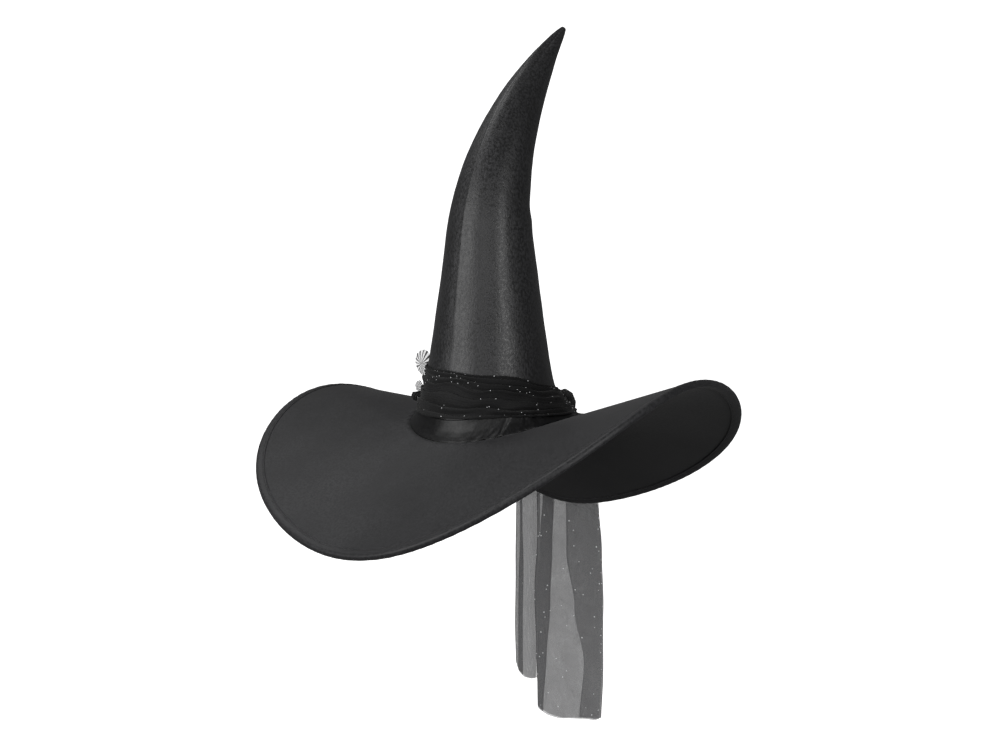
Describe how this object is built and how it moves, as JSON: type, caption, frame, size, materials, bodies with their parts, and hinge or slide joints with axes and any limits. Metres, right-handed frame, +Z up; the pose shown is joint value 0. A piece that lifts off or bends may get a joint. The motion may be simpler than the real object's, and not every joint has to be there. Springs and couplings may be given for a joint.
{
  "type": "witch hat",
  "caption": "Wide wavy-brimmed pointed hat: tall satin crown curving back to its tip, bound brim, pleated net sash with a side rosette and two tails hanging behind.",
  "frame": {"origin": "centre of the head opening, at the mean height of the seam between crown and brim", "axes": "+Z up along the crown's foot, -Y towards the wearer's front, +X to the wearer's left"},
  "size_m": [0.5556, 0.4893, 0.9105],
  "materials": {
    "satin": "satin sheen",
    "satin_under": "satin sheen",
    "binding": "satin sheen",
    "foam": "closed-cell foam, matt",
    "lining": "plain weave",
    "wire": "bright drawn wire",
    "tape": "woven tape",
    "grosgrain": "ribbed ribbon",
    "tulle": "open net with fine white glitter",
    "organza": "sheer ribbed ribbon",
    "thread": "polyester thread",
    "label": "woven label, blank"
  },
  "bodies": {
    "hat": {"crown_cover": "satin", "crown_foam": "foam", "crown_lining": "lining", "crown_spine_wire": "wire", "spine_wire_channel": "tape", "brim_top_cover": "satin", "brim_core": "foam", "brim_under_cover": "satin_under", "brim_wire": "wire", "brim_wire_ferrule": "wire", "brim_binding": "binding", "binding_stitching": "thread", "satin_band": "satin", "sash_wrap": "tulle", "sash_knot": "tulle", "long_tail_run": "tulle", "short_tail_run": "tulle", "rosette_upper_loop": "organza", "rosette_lower_loop": "organza", "rosette_centre": "tulle", "sweatband": "grosgrain", "seam_tape": "tape", "care_label": "label"},
    "long_tail": {"long_tail": "tulle"},
    "short_tail": {"short_tail": "tulle"}
  },
  "joints": [
    {"name": "long_tail_swing", "type": "hinge", "parent": "hat", "child": "long_tail", "pos_m": [-0.0465, 0.2209, -0.138], "axis": [0.9914, 0.1305, 0], "range_deg": [-15, 85]},
    {"name": "short_tail_swing", "type": "hinge", "parent": "hat", "child": "short_tail", "pos_m": [-0.115, 0.2119, -0.124], "axis": [0.9914, 0.1305, 0], "range_deg": [-15, 85]}
  ]
}
